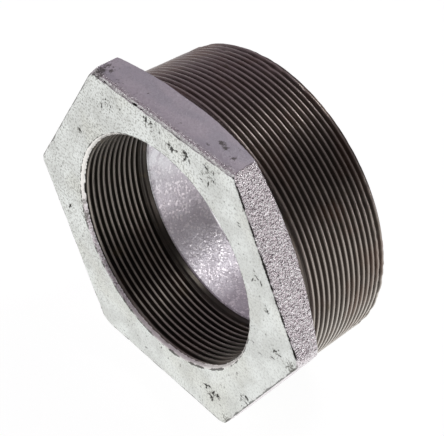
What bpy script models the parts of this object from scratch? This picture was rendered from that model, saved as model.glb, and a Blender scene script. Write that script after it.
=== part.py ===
"""Hexagon reducing bush: taper male pipe thread outside, parallel female pipe thread inside.

The bush lies on one flat of its hexagon. Its axis runs along Y, with the female mouth at -Y and the
male end at +Y. The origin is on the surface it lies on, below the middle of the bush.
The casting is split at its finish: zinc-coated head and tube wall, and two bare cut threads.
"""
import math

import bmesh
import bpy
from mathutils import Matrix

# Driving dimensions, in metres.
LENGTH = 0.0500                # from the hexagon's front face to the male end
ACROSS_FLATS = 0.1160          # spanner size of the hexagon
HEAD_THICKNESS = 0.0135        # of the hexagon at the middle of a flat
CORNER_THICKNESS = 0.0098      # of the hexagon at a corner, where its back is coned off
CORNER_ROUND = 0.0030          # radius between two flats
FACE_ROUND = 0.0008            # round along the front face's outer edge

INCH = 0.0254
THREADS_PER_INCH = 11          # of both threads
DEPTH_SHARE = 0.640327         # of the pitch that a 55 degree pipe thread is deep
CREST_SHARE = 1 / 6            # of the pitch that is flat on a crest, and again in a root

MALE_GAUGE_RADIUS = 0.11303 / 2    # crest radius at the gauge plane of a 4 inch taper thread
MALE_GAUGE_LENGTH = 0.0254         # from the male end to the gauge plane
MALE_TAPER = 1 / 32                # radius lost per length towards the male end
MALE_END_BEVEL = 0.0012            # 45 degree bevel that starts the thread
MALE_UNDERCUT_WIDTH = 0.0022       # plain band between the hexagon and the first turn
MALE_UNDERCUT_DEPTH = 0.0009       # of that band below the crests
MALE_CREST_AT = 0.0186             # from the front face to a crest, on the +X side
MALE_RING_WALL = 0.0026            # iron left under the male thread's deepest root

FEMALE_MAJOR_RADIUS = 0.087884 / 2     # root radius of a 3 inch parallel thread
FEMALE_START = 0.0025              # from the front face, past the cast mouth, to the thread
FEMALE_FULL_DEPTH = 0.0250         # from the front face to the last full turn
FEMALE_RUNOUT = 0.0021             # over which the last turn fades out
FEMALE_BAND_END = 0.0290           # from the front face to the end of the machined bore
FEMALE_CREST_AT = 0.0060           # from the front face to a crest, on the +X side
FEMALE_RING_WALL = 0.0016          # iron left outside the female thread's roots
MOUTH_INSET = 0.0003               # of the cast mouth's inner end, inside the thread's roots
MOUTH_FLARE = 0.0006               # radius that the mouth gains towards the front face

BORE_STEP = 0.0004                 # that the cored bore is narrower than the machined one
BORE_END_BEVEL = 0.0010            # bevel on the bore's edge at the male end

GAP = 0.0003                       # kept between two solids that stand for one casting
SIDES = 48                         # facets around each round surface
MERGE = 0.000005                   # distance under which two points are one

# Worked out from the driving dimensions. A depth is a distance from the front face.
PITCH = INCH / THREADS_PER_INCH
THREAD_DEPTH = DEPTH_SHARE * PITCH
TUBE_FRONT = HEAD_THICKNESS + GAP
FRONT_Y = -LENGTH / 2
AXIS_Z = ACROSS_FLATS / 2

FEMALE_MINOR_RADIUS = FEMALE_MAJOR_RADIUS - THREAD_DEPTH
FEMALE_RING_RADIUS = FEMALE_MAJOR_RADIUS + FEMALE_RING_WALL
MOUTH_INNER_RADIUS = FEMALE_MAJOR_RADIUS - MOUTH_INSET
SOCKET_RADIUS = FEMALE_RING_RADIUS + GAP
BORE_RADIUS = FEMALE_MINOR_RADIUS - BORE_STEP

MALE_END_RADIUS = MALE_GAUGE_RADIUS - MALE_GAUGE_LENGTH * MALE_TAPER
MALE_RING_BORE = MALE_END_RADIUS - THREAD_DEPTH - MALE_RING_WALL
TUBE_RADIUS = MALE_RING_BORE - GAP


def male_taper_radius(depth):
    """Crest radius of the taper thread, before its end is bevelled."""
    return MALE_END_RADIUS + (LENGTH - depth) * MALE_TAPER


def smooth_step(value, low, high):
    share = min(max((value - low) / (high - low), 0.0), 1.0)
    return share * share * (3 - 2 * share)


def male_profile(depth, height):
    """Radius of the male thread; height runs from 0 in a root to 1 on a crest."""
    taper = male_taper_radius(depth)
    bevel = MALE_END_RADIUS - MALE_END_BEVEL + (LENGTH - depth)
    undercut_end = TUBE_FRONT + MALE_UNDERCUT_WIDTH
    rise = smooth_step(depth, undercut_end, undercut_end + PITCH)
    crest = min(taper - MALE_UNDERCUT_DEPTH * (1 - rise), bevel)
    root = taper - MALE_UNDERCUT_DEPTH - (THREAD_DEPTH - MALE_UNDERCUT_DEPTH) * rise
    return root + (crest - root) * height


def female_profile(depth, height):
    """Radius of the tap that cuts the female thread; height is 1 on the tap's crest."""
    if depth < FEMALE_START:
        return MOUTH_INNER_RADIUS + MOUTH_FLARE * (1 - depth / FEMALE_START)
    fade = 1 - smooth_step(depth, FEMALE_FULL_DEPTH, FEMALE_FULL_DEPTH + FEMALE_RUNOUT)
    return FEMALE_MINOR_RADIUS + THREAD_DEPTH * height * fade


def clear_scene():
    for old in list(bpy.data.objects):
        bpy.data.objects.remove(old)


def make_collection(name):
    collection = bpy.data.collections.new(name)
    bpy.context.scene.collection.children.link(collection)
    return collection


def make_material(name, color, roughness, metallic):
    material = bpy.data.materials.new(name)
    material.use_nodes = True
    shader = material.node_tree.nodes["Principled BSDF"]
    shader.inputs["Base Color"].default_value = (*color, 1.0)
    shader.inputs["Roughness"].default_value = roughness
    shader.inputs["Metallic"].default_value = metallic
    material.diffuse_color = (*color, 1.0)
    return material


def add_object(name, mesh, collection):
    """Object whose local origin is where the bush's axis meets its front face."""
    made = bpy.data.objects.new(name, mesh)
    made.location = (0.0, FRONT_Y, AXIS_Z)
    collection.objects.link(made)
    return made


def as_cutter(cutter):
    cutter.hide_render = True
    cutter.display_type = "WIRE"
    return cutter


def finish_part(part, material):
    part.data.materials.append(material)
    part.data.shade_smooth()
    part.data.set_sharp_from_angle(angle=math.radians(30))
    return part


def turned(name, outline, collection):
    """Solid turned about the axis from an outline of (radius, distance from the front).

    The outline runs down its outer side. One that starts and ends on the axis stays open there.
    """
    corners = [(radius, depth, 0.0) for radius, depth in outline]
    sides = [(index, index + 1) for index in range(len(corners) - 1)]
    if outline[0][0] > 0:
        sides.append((len(corners) - 1, 0))
    mesh = bpy.data.meshes.new(name)
    mesh.from_pydata(corners, sides, [])
    made = add_object(name, mesh, collection)
    screw = made.modifiers.new("Turn", "SCREW")
    screw.axis = "Y"
    screw.steps = SIDES
    screw.render_steps = SIDES
    screw.use_merge_vertices = True
    screw.merge_threshold = MERGE
    return made


def evaluated_mesh(source):
    """Mesh of an object with its modifiers applied; the object itself is removed."""
    depsgraph = bpy.context.evaluated_depsgraph_get()
    mesh = bpy.data.meshes.new_from_object(source.evaluated_get(depsgraph))
    bpy.data.objects.remove(source)
    return mesh


def threaded_rod(name, profile, crest_at, start, end, collection):
    """Closed rod from start to end whose skin is one right-hand thread that follows profile."""
    base = MALE_GAUGE_RADIUS
    flank_share = (1 - 2 * CREST_SHARE) / 2
    heights = [(0.0, 1.0), (CREST_SHARE, 1.0), (CREST_SHARE + flank_share, 0.0),
               (1 - flank_share, 0.0), (1.0, 1.0)]
    pitches_before = math.ceil((crest_at - start) / PITCH) + 1
    first = crest_at - (pitches_before + CREST_SHARE / 2) * PITCH
    turns = math.ceil((end - first) / PITCH) + 1
    points = [(base + height * THREAD_DEPTH, first + share * PITCH, 0.0)
              for share, height in heights]
    mesh = bpy.data.meshes.new(name)
    mesh.from_pydata(points, [(index, index + 1) for index in range(len(points) - 1)], [])
    skin = add_object(name + "_skin", mesh, collection)
    screw = skin.modifiers.new("Thread", "SCREW")
    screw.axis = "Y"
    screw.steps = SIDES
    screw.render_steps = SIDES
    screw.iterations = turns
    screw.screw_offset = PITCH
    screw.use_merge_vertices = False
    rod_mesh = evaluated_mesh(skin)

    shape = bmesh.new()
    shape.from_mesh(rod_mesh)
    bmesh.ops.remove_doubles(shape, verts=shape.verts, dist=MERGE)
    for vertex in shape.verts:
        radius = math.hypot(vertex.co.x, vertex.co.z)
        height = min(max((radius - base) / THREAD_DEPTH, 0.0), 1.0)
        wanted = profile(min(max(vertex.co.y, start), end), height)
        vertex.co.x *= wanted / radius
        vertex.co.z *= wanted / radius
    for place, outward in ((start, -1), (end, 1)):
        everything = shape.verts[:] + shape.edges[:] + shape.faces[:]
        bmesh.ops.bisect_plane(shape, geom=everything, dist=MERGE, clear_outer=True,
                               plane_co=(0, place, 0), plane_no=(0, outward, 0))
    rim = [edge for edge in shape.edges if edge.is_boundary]
    bmesh.ops.holes_fill(shape, edges=rim, sides=0)
    bmesh.ops.recalc_face_normals(shape, faces=shape.faces)
    shape.to_mesh(rod_mesh)
    shape.free()
    return add_object(name, rod_mesh, collection)


def cut(part, cutter, operation="DIFFERENCE"):
    boolean = part.modifiers.new(cutter.name, "BOOLEAN")
    boolean.operation = operation
    boolean.solver = "EXACT"
    boolean.object = as_cutter(cutter)


def make_hex_head(parts, cutters):
    """Hexagon with rounded corners, coned off at the back and bored for the female thread."""
    corner_radius = ACROSS_FLATS / math.sqrt(3)
    upright = Matrix.Rotation(-math.pi / 2, 4, "X") @ Matrix.Rotation(math.pi / 2, 4, "Z")
    middle = Matrix.Translation((0.0, HEAD_THICKNESS / 2, 0.0))
    shape = bmesh.new()
    bmesh.ops.create_cone(shape, cap_ends=True, segments=6, radius1=corner_radius,
                          radius2=corner_radius, depth=HEAD_THICKNESS, matrix=middle @ upright)
    along = [edge for edge in shape.edges
             if abs((edge.verts[0].co - edge.verts[1].co).y) > HEAD_THICKNESS / 2]
    setback = CORNER_ROUND * math.tan(math.radians(30))
    bmesh.ops.bevel(shape, geom=along, offset=setback, offset_type="OFFSET", segments=3,
                    profile=0.5, affect="EDGES")
    front = [edge for edge in shape.edges if all(abs(end.co.y) < FACE_ROUND / 10 for end in edge.verts)]
    bmesh.ops.bevel(shape, geom=front, offset=FACE_ROUND, offset_type="OFFSET", segments=2,
                    profile=0.5, affect="EDGES")
    bmesh.ops.recalc_face_normals(shape, faces=shape.faces)
    mesh = bpy.data.meshes.new("hex_head")
    shape.to_mesh(mesh)
    shape.free()
    head = add_object("hex_head", mesh, parts)

    # The cone passes through the back's edge at mid-flat and through each corner.
    flat_radius = ACROSS_FLATS / 2
    slope = (HEAD_THICKNESS - CORNER_THICKNESS) / (corner_radius - flat_radius)
    outer = corner_radius + HEAD_THICKNESS
    cone = turned("head_cone", [
        (0.0, HEAD_THICKNESS + flat_radius * slope),
        (outer, HEAD_THICKNESS - (outer - flat_radius) * slope),
        (outer, -HEAD_THICKNESS),
        (0.0, -HEAD_THICKNESS),
    ], cutters)
    cut(head, cone, "INTERSECT")
    socket = turned("head_socket", [
        (0.0, 2 * HEAD_THICKNESS),
        (SOCKET_RADIUS, 2 * HEAD_THICKNESS),
        (SOCKET_RADIUS, -HEAD_THICKNESS),
        (0.0, -HEAD_THICKNESS),
    ], cutters)
    cut(head, socket)
    return head


def make_tube_wall(parts):
    """Wall between the threads, with the socket for the female thread and the cored bore."""
    bore_start = FEMALE_BAND_END + GAP
    return turned("tube_wall", [
        (TUBE_RADIUS, LENGTH),
        (TUBE_RADIUS, TUBE_FRONT),
        (SOCKET_RADIUS, TUBE_FRONT),
        (SOCKET_RADIUS, bore_start),
        (BORE_RADIUS, bore_start),
        (BORE_RADIUS, LENGTH - BORE_END_BEVEL),
        (BORE_RADIUS + BORE_END_BEVEL, LENGTH),
    ], parts)


def make_male_thread(parts, cutters):
    """Threaded ring over the tube wall, from the hexagon to the male end."""
    ring = threaded_rod("male_thread", male_profile, MALE_CREST_AT, TUBE_FRONT, LENGTH, parts)
    core = turned("male_ring_bore", [
        (0.0, LENGTH + HEAD_THICKNESS),
        (MALE_RING_BORE, LENGTH + HEAD_THICKNESS),
        (MALE_RING_BORE, 0.0),
        (0.0, 0.0),
    ], cutters)
    cut(ring, core)
    return ring


def make_female_thread(parts, cutters):
    """Threaded ring in the hexagon's socket, from the front face to the end of its bore."""
    inside_tap = FEMALE_MINOR_RADIUS / 2
    ring = turned("female_thread", [
        (FEMALE_RING_RADIUS, FEMALE_BAND_END),
        (FEMALE_RING_RADIUS, 0.0),
        (inside_tap, 0.0),
        (inside_tap, FEMALE_BAND_END),
    ], parts)
    tap = threaded_rod("female_tap", female_profile, FEMALE_CREST_AT, -PITCH,
                       FEMALE_BAND_END + PITCH, cutters)
    cut(ring, tap)
    return ring


def main():
    clear_scene()
    parts = make_collection("hexagon_reducing_bush")
    cutters = make_collection("cutters")

    zinc_head = make_material("zinc_head", (0.70, 0.71, 0.69), 0.42, 0.80)
    zinc_bore = make_material("zinc_bore", (0.62, 0.60, 0.63), 0.50, 0.80)
    cut_iron_outside = make_material("cut_iron_outside", (0.12, 0.10, 0.10), 0.45, 0.85)
    cut_iron_inside = make_material("cut_iron_inside", (0.10, 0.085, 0.08), 0.45, 0.85)

    finish_part(make_hex_head(parts, cutters), zinc_head)
    finish_part(make_tube_wall(parts), zinc_bore)
    finish_part(make_male_thread(parts, cutters), cut_iron_outside)
    finish_part(make_female_thread(parts, cutters), cut_iron_inside)


main()
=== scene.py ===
import math
import random

import bmesh
import bpy
import numpy as np
from mathutils import Matrix, Vector, noise


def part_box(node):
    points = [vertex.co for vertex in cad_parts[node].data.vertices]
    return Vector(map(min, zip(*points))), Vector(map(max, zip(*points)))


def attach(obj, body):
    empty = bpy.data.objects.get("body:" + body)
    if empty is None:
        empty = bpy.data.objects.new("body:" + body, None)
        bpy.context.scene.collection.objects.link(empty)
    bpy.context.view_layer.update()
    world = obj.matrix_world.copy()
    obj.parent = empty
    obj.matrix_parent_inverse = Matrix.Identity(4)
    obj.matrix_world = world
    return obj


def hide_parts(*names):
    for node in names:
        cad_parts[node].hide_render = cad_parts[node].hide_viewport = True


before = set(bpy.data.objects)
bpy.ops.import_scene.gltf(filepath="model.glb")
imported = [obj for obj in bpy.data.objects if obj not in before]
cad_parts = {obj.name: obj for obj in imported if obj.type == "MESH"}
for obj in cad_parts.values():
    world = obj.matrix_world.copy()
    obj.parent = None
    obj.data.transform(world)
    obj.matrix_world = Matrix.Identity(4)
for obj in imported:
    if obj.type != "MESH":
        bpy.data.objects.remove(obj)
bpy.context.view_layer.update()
bpy.context.scene.view_settings.view_transform = "Standard"

# The places that every piece is built from, read from the frame.
headLow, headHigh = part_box("hex_head")
tubeLow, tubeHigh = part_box("tube_wall")
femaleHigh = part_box("female_thread")[1]

axisZ = (headLow.z + headHigh.z) / 2
frontY = headLow.y
endY = tubeHigh.y
acrossFlats = headHigh.z - headLow.z
cornerRadius = acrossFlats / math.sqrt(3)
headThickness = headHigh.y - headLow.y
near = 1e-6                      # two places closer than this are one

# Both pipe threads have 11 turns to the inch and the same rounded 55 degree form.
pitch = 0.0254 / 11
formDepth = 0.640327             # in pitches
formRound = 0.137329             # radius of its crests and roots, in pitches
flankAngle = math.radians(27.5)
threadDepth = formDepth * pitch
print("frame read: %.1f mm across flats, %.1f mm long"
      % (acrossFlats * 1000, (endY - frontY) * 1000))


def leaveEdit():
    if bpy.context.mode != "OBJECT":
        bpy.ops.object.mode_set(mode="OBJECT")


def takeOnly(piece):
    leaveEdit()
    bpy.ops.object.select_all(action="DESELECT")
    piece.select_set(True)
    bpy.context.view_layer.objects.active = piece


def edit(piece, kind="EDGE"):
    takeOnly(piece)
    bpy.ops.object.mode_set(mode="EDIT")
    bpy.ops.mesh.select_mode(type=kind)
    bpy.ops.mesh.select_all(action="DESELECT")


def pick(piece, kind, test):
    # selects the vertices, edges or faces that pass the test, and nothing else
    shape = bmesh.from_edit_mesh(piece.data)
    for part in getattr(shape, kind):
        part.select_set(False)
    for part in getattr(shape, kind):
        if test(part):
            part.select_set(True)
    shape.select_flush_mode()
    bmesh.update_edit_mesh(piece.data)


def settle(piece, name):
    takeOnly(piece)
    piece.name = name
    piece.data.name = name
    bpy.ops.object.transform_apply(location=True, rotation=True, scale=True)
    return piece


def modify(piece, kind, **settings):
    takeOnly(piece)
    modifier = piece.modifiers.new(kind.title(), kind)
    for name, value in settings.items():
        setattr(modifier, name, value)
    bpy.ops.object.modifier_apply(modifier=modifier.name)


def frustum(radiusFront, radiusBack, yFront, yBack, sides, shift=0.0):
    # a round cutter on the axis, or beside it by shift
    bpy.ops.mesh.primitive_cone_add(vertices=sides, radius1=radiusFront, radius2=radiusBack,
                                    depth=yBack - yFront, rotation=(-math.pi / 2, 0, 0),
                                    location=(shift, (yFront + yBack) / 2, axisZ))
    return settle(bpy.context.object, "cutter")


def cutBy(piece, cutter, operation):
    modify(piece, "BOOLEAN", operation=operation, solver="EXACT", object=cutter)
    bpy.data.objects.remove(cutter)


def readPoints(piece):
    points = np.empty(len(piece.data.vertices) * 3)
    piece.data.vertices.foreach_get("co", points)
    return points.reshape(-1, 3)


def writePoints(piece, points):
    piece.data.vertices.foreach_set("co", points.ravel())
    piece.data.update()


def cloud(points, scale, seed, octaves=3):
    # soft noise, about -1 to 1, at scale metres
    shift = Vector((seed * 7.31, seed * 3.17, seed * 5.93))
    return np.array([noise.fractal(Vector(p) / scale + shift, 1.0, 2.0, octaves)
                     for p in points])


def ramp(values, low, high):
    # 0 up to low, 1 from high on, and smooth in the middle
    share = np.clip((values - low) / (high - low), 0, 1)
    return share * share * (3 - 2 * share)


def between(values, rise, risen, fall, fallen):
    return ramp(values, rise, risen) * (1 - ramp(values, fall, fallen))


def heading(degrees):
    return math.cos(math.radians(degrees)), math.sin(math.radians(degrees))


def polar(points):
    x, z = points[:, 0], points[:, 2] - axisZ
    return np.hypot(x, z), np.arctan2(z, x)


def awayFrom(points, degrees, reach):
    # distance from a spot given by its angle round the axis and its radius
    across, up = heading(degrees)
    return np.hypot(points[:, 0] - reach * across, points[:, 2] - axisZ - reach * up)


def facing(angle, degrees, low, high):
    # 1 on the side that faces degrees, fading round the axis
    return ramp(np.cos(angle - math.radians(degrees)), low, high)


def spread(points, share):
    # points move away from the axis, or towards it, to a share of their distance
    points[:, 0] *= share
    points[:, 2] = axisZ + (points[:, 2] - axisZ) * share


def keepMarks(piece, **channels):
    # each channel is stored as a number per point, for the materials to read
    for name, values in channels.items():
        layer = piece.data.attributes.new(name, "FLOAT", "POINT")
        layer.data.foreach_set("value", np.ascontiguousarray(values, dtype=np.float32))


headShape = {
    # by the angle round the axis: each corner's radius, and how far its front is knocked back
    "cornerRounds": {0: 0.0040, 60: 0.0022, 120: 0.0044, 180: 0.0030, 240: 0.0030, 300: 0.0040},
    "cornerWear": {0: 0.0012, 60: 0.0014, 120: 0.0022, 180: 0.0008, 240: 0.0012, 300: 0.0004},
    "cornerWearSlope": 0.8,      # how fast that fades towards the back
    "cornerWearTurn": 25,        # degrees to each side of the corner
    # by the angle of the flat: how far its front edge is worn, and how much lower it lies
    "edgeWear": {30: 0.0007, 90: 0.0020, 150: 0.0003, 210: 0.0003, 270: 0.0002, 330: 0.0003},
    "edgeWearReach": 0.0013,     # from the front face
    "edgeRagged": 0.12,          # share of that wear
    "edgeRaggedReach": 0.0020,
    "edgeRaggedSize": 0.004,
    "flatDraft": {90: 0.0010},
    "faceRound": 0.0005,         # around the front face
    "cornerThickness": 0.0098,   # where the back is coned off
    "rearShift": -0.0030,        # of that cone, which sits off the axis
    "mouthRadius": 0.04375,      # of the cast mouth at the front face
    "mouthInner": 0.04240,       # of the mouth where the thread starts
    "mouthDepth": 0.0017,
    "socketRadius": 0.0450,      # hidden behind the female thread
    "sides": 256,                # of the round cuts
    "grain": 0.00050,            # size of the skin's facets
    "waviness": 0.00014,         # of the cast skin
    "waveSize": 0.009,
    "roughness": 0.00006,
    "roughSize": 0.0016,
    "topCalm": 0.8,              # how much less wavy the top flat is
    "inset": 0.00002,            # keeps the skin inside the true size
    "mottledSide": 140,          # where the face is most mottled, as an angle
    "roughMouthSide": -143,      # where the mouth is as rough as the flats
}

pitShape = {
    "groups": (                  # cast-in marks: angle round the axis, radius, spread, how many
        (95, 0.0520, 0.0034, 8), (84, 0.0495, 0.0018, 6), (77, 0.0505, 0.0030, 8),
        (65, 0.0550, 0.0036, 8), (25, 0.0505, 0.0018, 4), (-2, 0.0560, 0.0030, 6),
        (-60, 0.0545, 0.0042, 14), (-40, 0.0560, 0.0036, 6), (14, 0.0525, 0.0020, 3),
        (148, 0.0500, 0.0020, 2), (-166, 0.0520, 0.0014, 2), (120, 0.0540, 0.0040, 3),
    ),
    "widths": (0.00032, 0.00050),
    "strengths": (0.6, 1.0),
    "looseCount": 100,           # small ones all over the face
    "looseBand": (0.0455, 0.064),
    "looseWidths": (0.00025, 0.0004),
    "looseStrengths": (0.3, 0.75),
    "lengths": (1.4, 4.6),       # in widths
    "turns": (-0.5, 2.0),        # their slant, in radians
    "depth": 0.00040,
    "seed": 11,
}

# a crease carved along the face's edge and painted near-black as the shade in it, and a thin
# outline of painted shade
creaseShape = {
    # angles round the axis: where it begins, is full, starts to end and ends
    "strong": (-1, 3, 57, 61),
    "patchy": (64, 68, 116, 120),
    "bare": (-3, 1, 118, 122),   # where there is no thin outline
    "strongReach": 0.00060,
    "patchyReach": 0.00005,
    "thinned": 0.00025,          # taken off all round, so that the crease breaks up
    "ragged": 0.00055,
    "raggedSize": 0.0022,
    "patches": 0.0004,
    "patchSize": 0.008,
    "outlineReach": 0.00075,
    "outlineRagged": 0.0005,
    "outlineSize": 0.004,
}

mouthLineShape = {
    "lowSide": (20, 50, 150, 175),    # degrees below the +X side
    "reach": 0.00018,
    "ragged": 0.00025,
    "raggedSize": 0.003,
    "lowRagged": 0.0006,
    "lowSize": 0.006,
}

stainShape = {
    "roundPits": 0.45,           # strength round the cast-in marks
    "worn": (                    # dark patches on any side, stains and, near the corner at 120 degrees, painted shade: angle round the axis, radius, reach, strength
        (119, 0.0655, 0.0034, 0.85), (112, 0.0625, 0.0026, 0.55), (104, 0.0600, 0.0024, 0.50),
        (97, 0.0585, 0.0016, 0.45), (62, 0.0650, 0.0018, 0.55), (-3, 0.0635, 0.0036, 0.65),
        (-57, 0.0640, 0.0032, 0.60), (-164, 0.0436, 0.0030, 0.70), (-172, 0.0436, 0.0020, 0.50),
        (178, 0.0655, 0.0018, 0.35), (238, 0.0655, 0.0018, 0.40),
    ),
    "top": (                     # on the top flat: across, back from the front, reach, strength
        (0.0215, 0.0072, 0.0011, 0.9), (0.0240, 0.0064, 0.0008, 0.8),
        (0.0268, 0.0090, 0.0007, 0.6), (0.0190, 0.0035, 0.0008, 0.6),
        (0.0290, 0.0050, 0.0010, 0.7), (0.0060, 0.0042, 0.0007, 0.5),
        (-0.0120, 0.0060, 0.0007, 0.5), (-0.0290, 0.0040, 0.0012, 0.6),
    ),
    "topStretch": 0.7,
}


def makeHexHead():
    size = headShape
    bpy.ops.mesh.primitive_cylinder_add(vertices=6, radius=cornerRadius, depth=headThickness,
                                        location=(0, frontY + headThickness / 2, axisZ),
                                        rotation=(-math.pi / 2, math.pi / 6, 0))
    head = settle(bpy.context.object, "hexHead")
    edit(head)
    for degrees, rounding in size["cornerRounds"].items():
        across, up = heading(degrees)
        corner = (cornerRadius * across, axisZ + cornerRadius * up)
        pick(head, "edges", lambda e: all(math.dist((v.co.x, v.co.z), corner) < near * 100
                                          for v in e.verts))
        bpy.ops.mesh.bevel(offset=rounding * math.tan(math.radians(30)), offset_type="OFFSET",
                           segments=5, profile=0.5)
    pick(head, "edges", lambda e: all(abs(v.co.y - frontY) < near for v in e.verts))
    bpy.ops.mesh.bevel(offset=size["faceRound"], offset_type="OFFSET", segments=3, profile=0.5)
    leaveEdit()

    past = 0.002                 # how far the cutters stand out
    flatRadius = acrossFlats / 2
    mouthEnd = frontY + size["mouthDepth"]
    slope = (headThickness - size["cornerThickness"]) / (cornerRadius - flatRadius)
    wide = flatRadius + (headThickness + past) / slope
    flare = (size["mouthRadius"] - size["mouthInner"]) / size["mouthDepth"]
    cutBy(head, frustum(wide, flatRadius, frontY - past, frontY + headThickness,
                        size["sides"], size["rearShift"]), "INTERSECT")
    cutBy(head, frustum(size["mouthRadius"] + flare * past, size["mouthInner"],
                        frontY - past, mouthEnd, size["sides"]), "DIFFERENCE")
    cutBy(head, frustum(size["socketRadius"], size["socketRadius"],
                        mouthEnd - past / 10, headHigh.y + past, size["sides"]), "DIFFERENCE")
    modify(head, "REMESH", mode="VOXEL", voxel_size=size["grain"])
    wearCorners(head)
    modify(head, "SMOOTH", factor=0.5, iterations=2)
    roughenHead(head)
    return head


def wearCorners(head):
    # the front's corners and edges are knocked back, each by its own amount
    size = headShape
    points = readPoints(head)
    radius, angle = polar(points)
    behind = points[:, 1] - frontY
    for degrees, wear in size["cornerWear"].items():
        turn = (angle - math.radians(degrees) + math.pi) % (2 * math.pi) - math.pi
        rounding = size["cornerRounds"][degrees] * (1 / math.cos(math.pi / 6) - 1)
        reach = cornerRadius - rounding - wear + behind * size["cornerWearSlope"]
        worn = np.minimum(radius * np.cos(turn), reach) / np.cos(turn)
        atCorner = np.abs(turn) < math.radians(size["cornerWearTurn"])
        spread(points, np.where(atCorner & (worn < radius), worn / radius, 1.0))
    for degrees, wear in size["edgeWear"].items():
        across, up = heading(degrees)
        out = points[:, 0] * across + (points[:, 2] - axisZ) * up
        flat = acrossFlats / 2 - size["flatDraft"].get(degrees, 0)
        reach = flat - wear * np.exp(-behind / size["edgeWearReach"])
        ragged = (cloud(points, size["edgeRaggedSize"], 14, 2) * wear * size["edgeRagged"]
                  * np.exp(-behind / size["edgeRaggedReach"]))
        extra = np.maximum(out - reach - ragged, 0)
        points[:, 0] -= extra * across
        points[:, 2] -= extra * up
    writePoints(head, points)


def roughenHead(head):
    size = headShape
    points = readPoints(head)
    normals = np.empty(len(points) * 3)
    head.data.vertices.foreach_get("normal", normals)
    normals = normals.reshape(-1, 3)
    radius, angle = polar(points)
    topFlat = ramp(normals[:, 2], 0.8, 0.97)
    waviness, roughness = size["waviness"] / 2, size["roughness"] / 2
    waves = cloud(points, size["waveSize"], 1) * waviness * (1 - topFlat * size["topCalm"])
    grains = cloud(points, size["roughSize"], 2) * roughness
    crease, outline = edgeCrease(points)
    # the crease is carved in with the pits and takes their near-black colour as painted shade
    pits = np.maximum(pitMarks(points, normals), crease)
    mouth = ((radius < size["mouthRadius"] + 0.0001)
             & (points[:, 1] < frontY + size["mouthDepth"] + 0.0008))
    depth = np.maximum(size["inset"] + waviness + roughness - waves - grains, size["inset"])
    points = points - normals * (depth + pits * pitShape["depth"])[:, None]
    points[:, 1] = np.maximum(points[:, 1], frontY + size["inset"])
    writePoints(head, points)
    keepMarks(head, pit=pits, outline=outline, stain=stainMarks(points, normals),
              face=np.clip(-normals[:, 1], 0, 1), smoothFlat=topFlat,
              mouth=mouth.astype(float), mouthLine=mouthLine(points, radius),
              lowerLeft=facing(angle, size["roughMouthSide"], 0.80, 0.95),
              mottled=0.45 + 0.55 * facing(angle, size["mottledSide"], -0.2, 0.7))


def pitMarks(points, normals):
    # how deep in a small cast-in mark each point of the front face is, from 0 to 1
    size = pitShape
    dice = random.Random(size["seed"])
    spots = []
    for degrees, reach, spreading, count in size["groups"]:
        across, up = heading(degrees)
        for _ in range(count):
            spots.append((dice.gauss(reach * across, spreading / 2),
                          dice.gauss(reach * up, spreading / 2),
                          dice.uniform(*size["widths"]), dice.uniform(*size["strengths"])))
    for _ in range(size["looseCount"]):
        turn, reach = dice.uniform(0, 2 * math.pi), dice.uniform(*size["looseBand"])
        spots.append((reach * math.cos(turn), reach * math.sin(turn),
                      dice.uniform(*size["looseWidths"]), dice.uniform(*size["looseStrengths"])))
    found = np.zeros(len(points))
    front = np.flatnonzero(normals[:, 1] < -0.5)
    for spotX, spotZ, wide, strength in spots:
        x, z = points[front, 0] - spotX, points[front, 2] - axisZ - spotZ
        long, turn = wide * dice.uniform(*size["lengths"]), dice.uniform(*size["turns"])
        along = (x * math.cos(turn) - z * math.sin(turn)) / long
        aside = (x * math.sin(turn) + z * math.cos(turn)) / wide
        found[front] = np.maximum(found[front], np.exp(-(along ** 2 + aside ** 2)) * strength)
    return found


def stainMarks(points, normals):
    # how stained the skin is, from 0 to 1: on the face round its marks, and where it is worn, with
    # painted shade near the rounded corner at 120 degrees
    size = stainShape
    onFace, onTop = normals[:, 1] < -0.5, normals[:, 2] > 0.7
    behind = points[:, 1] - frontY
    spots = [(awayFrom(points, degrees, radius), spreading, size["roundPits"] * onFace)
             for degrees, radius, spreading, _ in pitShape["groups"]]
    spots += [(np.hypot(awayFrom(points, degrees, radius), behind / 2), reach, strength)
              for degrees, radius, reach, strength in size["worn"]]
    spots += [(np.hypot((points[:, 0] - across) * size["topStretch"], behind - back),
               reach, strength * onTop)
              for across, back, reach, strength in size["top"]]
    found = np.zeros(len(points))
    for away, reach, strength in spots:
        found = np.maximum(found, np.exp(-(away / reach) ** 2) * strength)
    return found


def edgeCrease(points):
    # where the face turns over into the flats: a broken crease, carved in and painted near-black
    # as shade, and a thin outline of painted shade
    size = creaseShape
    x, z = points[:, 0], points[:, 2] - axisZ
    out = np.full(len(points), -1.0)
    for turn, wear in headShape["edgeWear"].items():
        across, up = heading(turn)
        out = np.maximum(out, x * across + z * up + wear * 0.8
                         + headShape["flatDraft"].get(turn, 0))
    away = np.hypot(out - acrossFlats / 2, points[:, 1] - frontY)
    degrees = np.degrees(polar(points)[1])
    strong = between(degrees, *size["strong"])
    patchy = between(degrees, *size["patchy"])
    outlined = 1 - between(degrees, *size["bare"])
    reach = (size["strongReach"] * strong + size["patchyReach"] * patchy - size["thinned"]
             + size["ragged"] * cloud(points, size["raggedSize"], 4)
             + size["patches"] * patchy * cloud(points, size["patchSize"], 6, 2))
    crease = ramp(reach - away, -0.00025, 0.00015)
    # the thin dark outline is painted shade along the rounded front edge
    reach = size["outlineReach"] + size["outlineRagged"] * cloud(points, size["outlineSize"], 7, 2)
    return crease, outlined * ramp(reach - away, 0.0, 0.0004)


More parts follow.
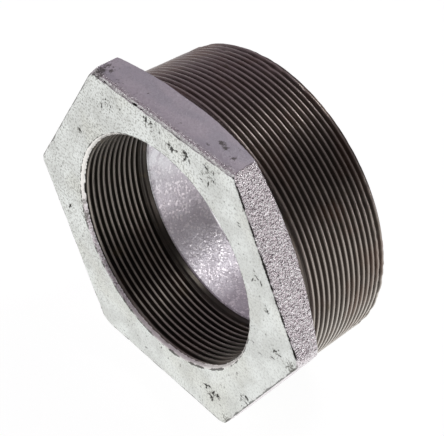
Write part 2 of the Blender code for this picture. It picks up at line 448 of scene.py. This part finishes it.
def mouthLine(points, radius):
    # the thin dark ragged line where the mouth meets the face, from 0 to 1: the zinc film's edge,
    # darkened as painted shade in that crease
    size = mouthLineShape
    away = np.hypot(radius - headShape["mouthRadius"] - 0.0001, points[:, 1] - frontY)
    low = between(-np.degrees(polar(points)[1]), *size["lowSide"])
    reach = (size["reach"] + size["ragged"] * cloud(points, size["raggedSize"], 8)
             + size["lowRagged"] * low * cloud(points, size["lowSize"], 12, 2))
    return ramp(reach - away, -0.0002, 0.0001)


def threadHeight(points, angle, crestY, crestCut):
    # 1 on a flattened crest, low in a root; crestY is a crest at +X, from the front face
    phase = (points[:, 1] - frontY - crestY) / pitch + angle / (2 * math.pi)
    away = np.abs((phase + 0.5) % 1.0 - 0.5)
    low = 0.5 - away
    tangent = formRound * math.cos(flankAngle)
    drop = formRound * (1 - math.sin(flankAngle))
    crest = formRound - np.sqrt(np.maximum(formRound ** 2 - away ** 2, 0))
    flank = drop + (away - tangent) / math.tan(flankAngle)
    root = formDepth - formRound + np.sqrt(np.maximum(formRound ** 2 - low ** 2, 0))
    fall = np.where(away < tangent, crest, np.where(low < tangent, root, flank))
    return np.minimum(1 - fall / formDepth + crestCut, 1)


def threadSkin(name, baseRadius, startY, finishY, steps, cuts):
    # a one-pitch line beside the axis, screwed round it into a skin of unbroken helical rows
    firstY = startY - 2.2 * pitch
    bpy.ops.mesh.primitive_plane_add(size=pitch, location=(baseRadius + pitch / 2,
                                                           firstY + pitch / 2, axisZ))
    skin = settle(bpy.context.object, name)
    edit(skin, "VERT")
    pick(skin, "verts", lambda v: v.co.x > baseRadius + pitch / 2)
    bpy.ops.mesh.delete(type="VERT")
    bpy.ops.mesh.select_all(action="SELECT")
    bpy.ops.mesh.subdivide(number_cuts=cuts)
    leaveEdit()
    skin.location = (0, 0, -axisZ)
    bpy.ops.object.transform_apply(location=True)
    turns = math.ceil((finishY - firstY) / pitch) + 1
    modify(skin, "SCREW", axis="Y", steps=steps, render_steps=steps, iterations=turns,
           screw_offset=pitch, use_merge_vertices=False)
    skin.location = (0, 0, axisZ)
    bpy.ops.object.transform_apply(location=True)
    edit(skin, "VERT")
    bpy.ops.mesh.select_all(action="SELECT")
    bpy.ops.mesh.remove_doubles(threshold=0.00001)
    for place, direction in ((startY, -1), (finishY, 1)):
        bpy.ops.mesh.select_all(action="SELECT")
        bpy.ops.mesh.bisect(plane_co=(0, place, axisZ), plane_no=(0, direction, 0),
                            clear_outer=True, threshold=0.000001)
    leaveEdit()
    return skin


def closeThread(skin, backRadius, skinRadius):
    # both rims are drawn to the hidden wall behind the thread, and joined there
    edit(skin)
    pick(skin, "edges", lambda e: e.is_boundary)
    bpy.ops.mesh.extrude_edges_move()
    share = backRadius / skinRadius
    bpy.ops.transform.resize(value=(share, 1, share), center_override=(0, 0, axisZ))
    bpy.ops.mesh.bridge_edge_loops()
    bpy.ops.mesh.select_all(action="SELECT")
    bpy.ops.mesh.normals_make_consistent(inside=False)
    leaveEdit()


maleShape = {
    "crestY": 0.0186,            # from the front face to a crest at +X
    "gaugeRadius": 0.11303 / 2,  # crest radius at the gauge plane
    "gaugeLength": 0.0254,       # from the male end to the gauge plane
    "taper": 1 / 32,
    "endBevel": 0.0012,
    "sunk": 0.0006,              # into the back of the head
    "undercutWidth": 0.0002,     # plain band between the hexagon and the first turn
    "undercutDepth": 0.0006,
    "runIn": 0.6,                # turns over which the first one grows
    "crestCut": 0.07,            # share of the form's depth that is left flat on the crests
    "uneven": 0.04,              # share of the form's depth
    "unevenSize": 0.004,
    "backRadius": 0.0538,
    "steps": 240,
    "cuts": 11,
    "endInset": 0.00005,
    "dullSide": 118,             # where the painted reflection of the dim room lies, as an angle round the axis
    "paleSide": -32,             # where the painted reflection of the bright floor lies
}

nickShape = {
    "count": 60,
    "fromEnd": 0.006,            # how far from the male end most of them are
    "lengths": (0.0004, 0.0013),
    "width": 0.0008,
    "strengths": (0.15, 0.6),
    "wornRim": 0.22,             # how worn the last turns are
    "depth": 0.001,
    "seed": 23,
}


def makeMaleThread():
    size = maleShape
    startY = frontY + headThickness - size["sunk"]
    finishY = endY - size["endInset"]
    gauge = size["gaugeRadius"]
    skin = threadSkin("maleThread", gauge, startY, finishY, size["steps"], size["cuts"])
    closeThread(skin, size["backRadius"], gauge)
    points = readPoints(skin)
    radius, angle = polar(points)
    y = points[:, 1]
    height = threadHeight(points, angle, size["crestY"], size["crestCut"])
    height = height + size["uneven"] * cloud(points, size["unevenSize"], 9, 2)
    endRadius = gauge - size["gaugeLength"] * size["taper"]
    taper = endRadius + (endY - y) * size["taper"]
    undercutEnd = tubeLow.y + size["undercutWidth"]
    rise = ramp(y, undercutEnd, undercutEnd + size["runIn"] * pitch)
    crest = np.minimum(taper - size["undercutDepth"] * (1 - rise),
                       endRadius - size["endBevel"] + (endY - y))
    root = taper - size["undercutDepth"] - (threadDepth - size["undercutDepth"]) * rise
    wanted = root + np.maximum(crest - root, 0) * height - maleNicks(points, height)
    hidden = radius < gauge - 0.001
    spread(points, np.where(hidden, radius, wanted) / radius)
    writePoints(skin, points)
    # the colour's height is lowered where the first turn rises out of the undercut: painted shade
    # in the corner behind the head
    keepMarks(skin, height=np.clip(height * (0.3 + 0.7 * rise), 0, 1),
              dull=facing(angle, size["dullSide"], 0.70, 0.96),
              pale=facing(angle, size["paleSide"], 0.80, 0.97))
    return skin


def maleNicks(points, height):
    # small dents along the crests near the male end
    size = nickShape
    dice = random.Random(size["seed"])
    dent = np.zeros(len(points))
    angle = polar(points)[1]
    for _ in range(size["count"]):
        spotAngle = dice.uniform(-math.pi, math.pi)
        spotY = endY - abs(dice.gauss(0, size["fromEnd"]))
        long = dice.uniform(*size["lengths"])
        turn = np.abs((angle - spotAngle + math.pi) % (2 * math.pi) - math.pi)
        away = turn * maleShape["gaugeRadius"]
        close = np.exp(-((away / long) ** 2 + ((points[:, 1] - spotY) / size["width"]) ** 2))
        dent = np.maximum(dent, close * dice.uniform(*size["strengths"]))
    worn = ramp(points[:, 1], endY - 0.009, endY - 0.001)
    worn = worn * ramp(cloud(points, 0.003, 41, 2), 0.0, 0.5) * size["wornRim"]
    return (dent + worn) * size["depth"] * np.clip(height, 0, 1)


femaleShape = {
    "crestY": 0.0060,            # from the front face to a crest at +X
    "majorRadius": 0.087884 / 2,
    "startDepth": 0.0013,        # just inside the cast mouth
    "leadIn": 0.0012,            # bevel at the first turn
    "crestCut": 0.10,            # share of the form's depth that is left flat on the crests
    "uneven": 0.03,              # share of the form's depth
    "unevenSize": 0.004,
    "fullDepth": 0.0245,         # from the front face to the last full turn
    "runOut": 0.0026,
    "backRadius": 0.0454,
    "steps": 240,
    "cuts": 11,
}


def makeFemaleThread():
    size = femaleShape
    startY = frontY + size["startDepth"]
    major = size["majorRadius"]
    minor = major - threadDepth
    skin = threadSkin("femaleThread", major, startY, femaleHigh.y, size["steps"], size["cuts"])
    closeThread(skin, size["backRadius"], major)
    points = readPoints(skin)
    radius, angle = polar(points)
    y = points[:, 1]
    height = threadHeight(points, angle, size["crestY"], size["crestCut"])
    height = height + size["uneven"] * cloud(points, size["unevenSize"], 19, 2)
    lastTurn = frontY + size["fullDepth"]
    fade = 1 - ramp(y, lastTurn, lastTurn + size["runOut"])
    leadIn = np.clip((startY + size["leadIn"] - y) / size["leadIn"], 0, 1) * threadDepth
    wanted = np.maximum(minor + threadDepth * (1 - height) * fade, minor + leadIn)
    hidden = radius > major + 0.001
    spread(points, np.where(hidden, radius, wanted) / radius)
    writePoints(skin, points)
    nowhere = np.zeros(len(points))
    keepMarks(skin, height=np.clip(height * fade, 0, 1), dull=nowhere, pale=nowhere)
    return skin


tubeShape = {
    "boreRadius": 0.04206,
    "boreStart": 0.0288,         # from the front face
    "outerRadius": 0.0539,       # hidden under the male thread
    "socketRadius": 0.0452,      # hidden behind the female thread
    "edgeRound": 0.0010,
    "sunk": 0.0006,              # into the back of the head
    "roughness": 0.00005,
    "roughSize": 0.0013,
    "waviness": 0.00022,
    "waveSize": 0.018,
    "steps": 420,
    "rowsAlong": 34,
    "rowsAcross": 18,
    "whiteTurn": 183.0,          # where the zinc is whitest, in degrees round the axis
    "whiteReach": 13.0,
    "smooth": (256.0, 268.0, 300.0, 330.0),    # where it is smooth: from, fully, until, no more
}


def makeTubeWall():
    size = tubeShape
    bore, socket = size["boreRadius"], size["socketRadius"]
    low, stepY, high = tubeLow.y - size["sunk"], frontY + size["boreStart"], endY
    wide = size["outerRadius"] - bore
    bpy.ops.mesh.primitive_plane_add(size=1, location=(bore + wide / 2, (stepY + high) / 2, axisZ))
    wall = bpy.context.object
    wall.scale = (wide, high - stepY, 1)
    settle(wall, "tubeWall")
    edit(wall)
    bpy.ops.mesh.select_all(action="SELECT")
    bpy.ops.mesh.bisect(plane_co=(socket, 0, axisZ), plane_no=(1, 0, 0))
    pick(wall, "edges", lambda e: all(abs(v.co.y - stepY) < near and v.co.x > socket - near
                                      for v in e.verts))
    bpy.ops.mesh.extrude_edges_move(TRANSFORM_OT_translate={"value": (0, low - stepY, 0)})
    bpy.ops.mesh.select_all(action="SELECT")
    bpy.ops.mesh.remove_doubles(threshold=near)
    bpy.ops.mesh.dissolve_faces()
    bpy.ops.mesh.select_all(action="SELECT")
    bpy.ops.mesh.delete(type="ONLY_FACE")
    for cuts, test in ((size["rowsAlong"], lambda v: v.co.x < bore + near * 10),
                       (size["rowsAcross"], lambda v: v.co.y > high - near * 10)):
        pick(wall, "edges", lambda e: all(test(v) for v in e.verts))
        bpy.ops.mesh.subdivide(number_cuts=cuts)
    bpy.ops.mesh.select_all(action="SELECT")
    bpy.ops.mesh.spin(steps=size["steps"], angle=2 * math.pi, center=(0, 0, axisZ),
                      axis=(0, 1, 0))
    bpy.ops.mesh.select_all(action="SELECT")
    bpy.ops.mesh.remove_doubles(threshold=near)
    bpy.ops.mesh.normals_make_consistent(inside=False)
    leaveEdit()
    roughenBore(wall)
    return wall


def roughenBore(wall):
    size = tubeShape
    bore, edge = size["boreRadius"], size["edgeRound"]
    stepY = frontY + size["boreStart"]
    points = readPoints(wall)
    radius, angle = polar(points)
    y = points[:, 1]
    cast = cloud(points, size["roughSize"], 31) * size["roughness"]
    wave = cloud(points, size["waveSize"], 32, 2) * size["waviness"]
    inside = ramp(-radius, -bore - 0.001, -bore) * ramp(y, stepY, stepY + 0.0015)
    toEnd = np.maximum(edge - (endY - y), 0) / edge
    toBore = np.maximum(edge - (radius - bore), 0) / edge
    rounding = edge * 0.45 * toEnd * toBore
    atEnd = ramp(y, endY - 0.002, endY)
    spread(points, (radius + (cast + wave) * inside + rounding) / radius)
    points[:, 1] = y - atEnd * (0.00008 + np.abs(cast) + rounding)
    writePoints(wall, points)
    turn = np.degrees(angle) % 360
    white = np.exp(-((turn - size["whiteTurn"]) / size["whiteReach"]) ** 2)
    keepMarks(wall, white=white * ramp(cloud(points, 0.004, 33), -0.7, 0.2),
              smooth=between(turn, *size["smooth"]))


class Signal:                    # a shader socket that takes part in sums
    def __init__(self, socket):
        self.socket = socket

    def work(self, operation, first, second):
        node = self.socket.id_data.nodes.new("ShaderNodeMath")
        node.operation = operation
        feed(node.inputs[0], first)
        feed(node.inputs[1], second)
        return Signal(node.outputs[0])

    def __add__(self, other):
        return self.work("ADD", self, other)

    def __radd__(self, other):
        return self.work("ADD", other, self)

    def __sub__(self, other):
        return self.work("SUBTRACT", self, other)

    def __rsub__(self, other):
        return self.work("SUBTRACT", other, self)

    def __mul__(self, other):
        return self.work("MULTIPLY", self, other)

    def __rmul__(self, other):
        return self.work("MULTIPLY", other, self)


def feed(slot, value):
    if isinstance(value, Signal):
        slot.id_data.links.new(value.socket, slot)
    elif slot.type == "RGBA":
        slot.default_value = (*value, 1.0)
    else:
        slot.default_value = value


class Board:                     # a node tree while it is being wired
    def __init__(self, tree):
        self.tree = tree

    def node(self, kind, settings=None, sockets=None, output=0):
        # any kind of node: its settings come first, then its sockets' values or links
        made = self.tree.nodes.new("ShaderNode" + kind)
        for name, value in (settings or {}).items():
            setattr(made, name, value)
        for name, value in (sockets or {}).items():
            feed(made.inputs[name], value)
        return Signal(made.outputs[output])

    def step(self, value, low, high):
        return self.node("MapRange", {"interpolation_type": "SMOOTHSTEP"},
                         {"Value": value, "From Min": low, "From Max": high})

    def blend(self, first, second, share):
        # sockets 6 and 7 are a Mix node's two colours, and output 2 is their mix
        return self.node("Mix", {"data_type": "RGBA"}, {0: share, 6: first, 7: second}, 2)


class Finish(Board):             # a material while it is being mixed
    def __init__(self, name):
        self.material = bpy.data.materials.new(name)
        self.material.use_nodes = True
        super().__init__(self.material.node_tree)
        self.shader = self.tree.nodes["Principled BSDF"]
        self.place = self.node("TexCoord", output="Object")

    def noise(self, scale, detail=3.0, vector=None):
        return self.node("TexNoise", None, {"Vector": vector or self.place, "Scale": scale,
                                            "Detail": detail})

    def mask(self, scale, detail, low, high, vector=None):
        return self.step(self.noise(scale, detail, vector), low, high)

    def cells(self, scale, output="Distance"):
        return self.node("TexVoronoi", None, {"Vector": self.place, "Scale": scale}, output)

    def tones(self, scale):
        # a random grey for each small cell
        return self.node("SeparateColor", None, {"Color": self.cells(scale, "Color")})

    def mark(self, name):
        return self.node("Attribute", {"attribute_name": name}, output="Fac")

    def stretch(self, scale):
        return self.node("Mapping", None, {"Vector": self.place, "Scale": scale})

    def put(self, color, metallic, roughness, height, depth, strength=1.0):
        normal = self.node("Bump", None, {"Height": height, "Distance": depth,
                                          "Strength": strength})
        for name, value in (("Base Color", color), ("Metallic", metallic),
                            ("Roughness", roughness), ("Normal", normal)):
            feed(self.shader.inputs[name], value)


zincHeadLook = {
    "plain": (0.70, 0.72, 0.69),
    "bright": (0.86, 0.89, 0.86),
    "warm": (0.80, 0.80, 0.70),
    "fleck": (0.97, 0.97, 0.97),
    "mottle": (0.30, 0.30, 0.27),        # the fine dark mottling of the face
    "glitter": (0.80, 0.72, 0.755),      # of the rough flats
    "glitterDark": (0.38, 0.325, 0.35),
    "glitterLight": (1.0, 0.97, 0.985),
    "speck": (0.10, 0.095, 0.08),
    # dark stains, and painted shade near the rounded corner at 120 degrees
    "stain": (0.11, 0.105, 0.085),
    "flat": (0.78, 0.755, 0.79),         # of the smooth top flat
    "flatDark": (0.68, 0.675, 0.715),
    # near-black of the cast-in pits, and painted shade in the edge crease and the mouth line
    "pit": (0.030, 0.030, 0.022),
    # painted shade along the rounded front edges
    "outline": (0.16, 0.16, 0.15),
    "mouth": (0.99, 0.97, 0.93),
    "grainScale": 1250.0,
    "fineScale": 3200.0,
    "glitterScale": 1600.0,
    "hollowScale": 960.0,
    "spangleScale": 1700.0,
    "speckScale": 560.0,
    # noise turned to soft masks: scale, detail, and the values each mask runs between
    "patches": (110.0, 4.0, 0.35, 0.65),
    "cloudy": (45.0, 3.0, 0.45, 0.70),
    "handled": (95.0, 5.0, 0.40, 0.62),
    "speckled": (380.0, 3.0, 0.52, 0.62),
    # how strongly each shows
    "warmShare": 0.35,
    "glitterShare": 0.94,
    "speckShare": 0.6,
    "markShare": 0.8,                    # of the painted-shade outlines and of the stains, which hold some painted corner shade
    "metallic": 0.9,
    "roughness": 0.34,
    "grainDepth": 0.00024,
    "bump": 0.95,
}


def makeZincHead():
    look = zincHeadLook
    zinc = Finish("zincHead")
    face = zinc.step(zinc.mark("face"), 0.45, 0.9)
    mouth = zinc.step(zinc.mark("mouth"), 0.4, 0.6)
    topFlat = zinc.mark("smoothFlat")
    coarse = (1 - face) * (1 - topFlat) * (1 - mouth)
    grain = zinc.noise(look["grainScale"], 3.0)
    fine = zinc.noise(look["fineScale"], 2.0)
    glitter = zinc.noise(look["glitterScale"], 1.0)
    hollow = zinc.noise(look["hollowScale"], 2.0, zinc.stretch((1.0, 1.0, 1.3)))
    spangle = zinc.tones(look["spangleScale"])
    patches = zinc.mask(*look["patches"])
    cloudy = zinc.mask(*look["cloudy"])
    handled = zinc.mask(*look["handled"], zinc.stretch((0.7, 1.6, 1.0)))
    specks = zinc.step(zinc.cells(look["speckScale"]), 0.26, 0.12) * zinc.mask(*look["speckled"])

    # the marks kept on the head, broken up by the grain
    broken = grain - 0.5
    pit = zinc.step(zinc.mark("pit") * (0.55 + grain * 0.9) + (fine - 0.5) * 0.5, 0.30, 0.62)
    stain = zinc.step(zinc.mark("stain") + broken * 1.6, 0.30, 0.75)
    outline = zinc.step(zinc.mark("outline") + broken * 1.4, 0.35, 0.75)
    line = zinc.step(zinc.mark("mouthLine") + broken, 0.30, 0.60)
    mottled = zinc.step(grain + (cloudy - 0.5) * 0.04, 0.46, 0.62) * zinc.mark("mottled")

    flat = zinc.blend(look["flat"], look["flatDark"], handled)
    rough = zinc.blend(look["glitter"], look["glitterDark"], zinc.step(hollow, 0.52, 0.62))
    rough = zinc.blend(rough, look["glitterLight"], zinc.step(glitter, 0.49, 0.57))
    color = zinc.blend(look["plain"], look["bright"], patches)
    for coat, share in (
            (look["warm"], cloudy * face * look["warmShare"]),
            (flat, topFlat),
            (look["mottle"], mottled * (0.12 + face * 0.56)),
            (look["fleck"], zinc.step(fine, 0.56, 0.70) * (0.25 + face * 0.25)),
            (rough, coarse * look["glitterShare"]),
            (look["speck"], specks * face * look["speckShare"]),
            (zinc.blend(look["mouth"], rough, zinc.mark("lowerLeft")), mouth),
            (look["outline"], outline * look["markShare"]),
            (look["stain"], stain * look["markShare"]),
            (look["pit"], line * look["markShare"]),
            (look["pit"], pit)):
        color = zinc.blend(color, coat, share)
    roughness = look["roughness"] + zinc.step(fine, 0.3, 0.7) * 0.16 + pit * 0.3 - coarse * 0.20
    height = (grain * (0.5 + coarse * 0.8) + fine * 0.35
              + (glitter + spangle * 0.6) * coarse * 2.2)
    zinc.put(color, look["metallic"] - pit * 0.8, roughness, height, look["grainDepth"],
             look["bump"])
    return zinc


zincBoreLook = {
    "plain": (0.62, 0.590, 0.63),
    "bright": (0.75, 0.725, 0.765),
    "mottle": (0.44, 0.415, 0.445),
    "white": (0.97, 0.975, 1.0),
    "sparkle": (1.0, 0.965, 0.99),
    "sparkleScale": 1350.0,
    "grainScale": 1800.0,
    "dimpleScale": 800.0,
    "patches": (120.0, 4.0, 0.35, 0.65),
    "glossy": (60.0, 2.0, 0.40, 0.58),
    "mottleShare": 0.55,
    "sparkleShare": 0.9,
    "whiteShare": 0.85,
    "metallic": 0.9,
    "roughness": 0.40,
    "grainDepth": 0.00024,
    "bump": 0.85,
}


def makeZincBore():
    look = zincBoreLook
    zinc = Finish("zincBore")
    grain = zinc.noise(look["grainScale"], 3.0)
    dimple = zinc.noise(look["dimpleScale"], 1.5)
    sparkle = zinc.step(zinc.tones(look["sparkleScale"]), 0.74, 0.84)
    sparkle = sparkle * (0.75 + zinc.mask(*look["glossy"]) * 0.25)
    color = zinc.blend(look["plain"], look["bright"], zinc.mask(*look["patches"]))
    color = zinc.blend(color, look["mottle"], zinc.step(grain, 0.50, 0.68) * look["mottleShare"])
    color = zinc.blend(color, look["sparkle"], sparkle * look["sparkleShare"])
    color = zinc.blend(color, look["white"], zinc.mark("white") * look["whiteShare"])
    roughness = look["roughness"] + zinc.step(grain, 0.3, 0.7) * 0.12 - sparkle * 0.08
    height = (grain * 0.5 + dimple * 0.6 + sparkle * 0.7) * (1 - zinc.mark("smooth") * 0.45)
    zinc.put(color, look["metallic"], roughness, height, look["grainDepth"], look["bump"])
    return zinc


# the male thread's colours: light crests are painted highlight, dark flanks and roots painted
# shade
cutIronOutside = {
    "dark": (0.13, 0.112, 0.098),
    "light": (0.56, 0.50, 0.45),
    "dullDark": (0.24, 0.20, 0.19),      # painted reflection of the dim room, paler grooves and darker crests
    "dullLight": (0.40, 0.345, 0.335),
    "pale": (0.82, 0.77, 0.70),          # painted reflection of the bright floor
    "crestFrom": 0.78,                   # height on the thread form where the painted crest highlight begins
    "rust": (0.22, 0.13, 0.095),
    "rustShare": 0.30,
}

# the female thread's colours: a darker copy of the male ones, painting the shade inside the
# socket, with less rust
cutIronInside = {
    "dark": (0.050, 0.044, 0.037),
    "light": (0.44, 0.40, 0.355),
    "dullDark": (0.10, 0.09, 0.08),
    "dullLight": (0.34, 0.31, 0.28),
    "pale": (0.60, 0.56, 0.50),
    "crestFrom": 0.82,
    "rust": (0.22, 0.13, 0.095),
    "rustShare": 0.12,
}

cutIronLook = {                  # what both threads share
    "turning": (240.0, 9000.0, 240.0),   # lines left by the tool, much finer along the axis
    "patchScale": 150.0,
    "rusty": (60.0, 5.0, 0.50, 0.66),
    "oil": (0.14, 0.11, 0.06),
    "oilShare": 0.4,
    "metallic": 0.9,
    "roughness": 0.22,
    "turningDepth": 0.00003,
    "bump": 0.6,
}


def makeCutIron(name, look):
    both = cutIronLook
    iron = Finish(name)
    crest = iron.step(iron.mark("height"), look["crestFrom"], 0.99)
    turning = iron.noise(1.0, 2.0, iron.stretch(both["turning"]))
    patches = iron.noise(both["patchScale"], 4.0)
    # painted reflection of the dim room on the upper-left side
    dull = iron.mark("dull") * (0.6 + iron.step(patches, 0.4, 0.6) * 0.4)
    dark = iron.blend(look["dark"], look["dullDark"], dull)
    light = iron.blend(look["light"], look["dullLight"], dull)
    # painted reflection of the bright floor on the lower-right side
    light = iron.blend(light, look["pale"], iron.mark("pale"))
    # painted highlight on the crests over painted shade in the flanks and roots
    color = iron.blend(dark, light, crest * (0.5 + turning * 0.5))
    color = iron.blend(color, look["rust"], iron.mask(*both["rusty"]) * look["rustShare"])
    color = iron.blend(color, both["oil"], iron.step(patches, 0.60, 0.75) * both["oilShare"])
    roughness = both["roughness"] + turning * 0.14 + iron.step(patches, 0.4, 0.7) * 0.12
    iron.put(color, both["metallic"], roughness, turning, both["turningDepth"], both["bump"])
    return iron


def present(piece, finish, node):
    leaveEdit()
    piece.data.materials.clear()
    piece.data.materials.append(finish.material)
    piece.data.shade_smooth()
    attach(piece, "root")
    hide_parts(node)
    print("%s: %d faces" % (piece.name, len(piece.data.polygons)))


present(makeHexHead(), makeZincHead(), "hex_head")
present(makeTubeWall(), makeZincBore(), "tube_wall")
present(makeMaleThread(), makeCutIron("cutIronOutside", cutIronOutside),
        "male_thread")
present(makeFemaleThread(), makeCutIron("cutIronInside", cutIronInside),
        "female_thread")

stageValues = {
    "floorSize": 4.0,
    "floorColor": (0.14, 0.14, 0.14),    # of the lit paper that the bush lies on
    "floorFleck": (0.15, 0.15, 0.15),
    "floorGlow": 0.96,
    "backdrop": (0.93, 0.93, 0.93),      # seen behind the bush
    "roomLeft": (0.33, 0.285, 0.325),    # lit and reflected, but not seen
    "roomRight": (0.11, 0.10, 0.105),
    "lamps": (                           # name, place, width, power, colour
        ("overhead", (0.04, 0.65, 1.08), 0.34, 2.4, (1.0, 1.0, 1.0)),
        ("side", (1.03, 0.58, 0.21), 0.30, 0.9, (1.0, 0.93, 0.96)),
    ),
    "lens": 116.91,
    "eye": (2.3322, -1.9005, 2.8536),    # from the front face's middle, in widths across flats
    "back": (0.54753, -0.50159, 0.66978),
    "right": (0.66255, 0.74877, 0.01912),
}


def makeFloor():
    size = stageValues["floorSize"]
    bpy.ops.mesh.primitive_plane_add(size=size, location=(0, 0, headLow.z))
    floor = settle(bpy.context.object, "floor")
    paper = Finish("litPaper")
    fleck = paper.noise(40.0, 3.0)
    color = paper.blend(stageValues["floorColor"], stageValues["floorFleck"], fleck)
    paper.put(color, 0.0, 0.8 + fleck * 0.1, fleck, 0.0001, 0.1)
    paper.shader.inputs["Specular IOR Level"].default_value = 0.0
    paper.shader.inputs["Emission Color"].default_value = (1.0, 1.0, 1.0, 1.0)
    paper.shader.inputs["Emission Strength"].default_value = stageValues["floorGlow"]
    floor.data.materials.append(paper.material)


def makeWorld():
    world = bpy.data.worlds.new("softWorld")
    world.use_nodes = True
    room = Board(world.node_tree)
    direction = room.node("TexCoord", output="Generated")
    across = room.node("SeparateXYZ", None, {"Vector": direction}, "X")
    color = room.blend(stageValues["roomLeft"], stageValues["roomRight"],
                       room.step(across, -0.4, 0.5))
    seen = room.node("LightPath", output="Is Camera Ray")
    color = room.blend(color, stageValues["backdrop"], seen)
    feed(room.tree.nodes["Background"].inputs["Color"], color)
    bpy.context.scene.world = world


def makeLamps():
    for name, place, wide, power, color in stageValues["lamps"]:
        lamp = bpy.data.lights.new(name, "AREA")
        lamp.shape = "DISK"
        lamp.size = wide
        lamp.energy = power
        lamp.color = color
        holder = bpy.data.objects.new(name, lamp)
        bpy.context.scene.collection.objects.link(holder)
        holder.location = place
        toBush = Vector((0, 0, axisZ)) - Vector(place)
        holder.rotation_euler = toBush.to_track_quat("-Z", "Y").to_euler()


def makeCamera():
    back = Vector(stageValues["back"]).normalized()
    right = Vector(stageValues["right"])
    right = (right - back * right.dot(back)).normalized()
    up = back.cross(right)
    eye = Vector((0, frontY, axisZ)) + Vector(stageValues["eye"]) * acrossFlats
    lens = bpy.data.cameras.new("studyCamera")
    lens.lens = stageValues["lens"]
    lens.sensor_width = 36.0
    holder = bpy.data.objects.new("studyCamera", lens)
    bpy.context.scene.collection.objects.link(holder)
    turned = Matrix((right, up, back)).transposed().to_4x4()
    holder.matrix_world = Matrix.Translation(eye) @ turned
    bpy.context.scene.camera = holder


makeFloor()
makeWorld()
makeLamps()
makeCamera()
print("stage and camera ready")
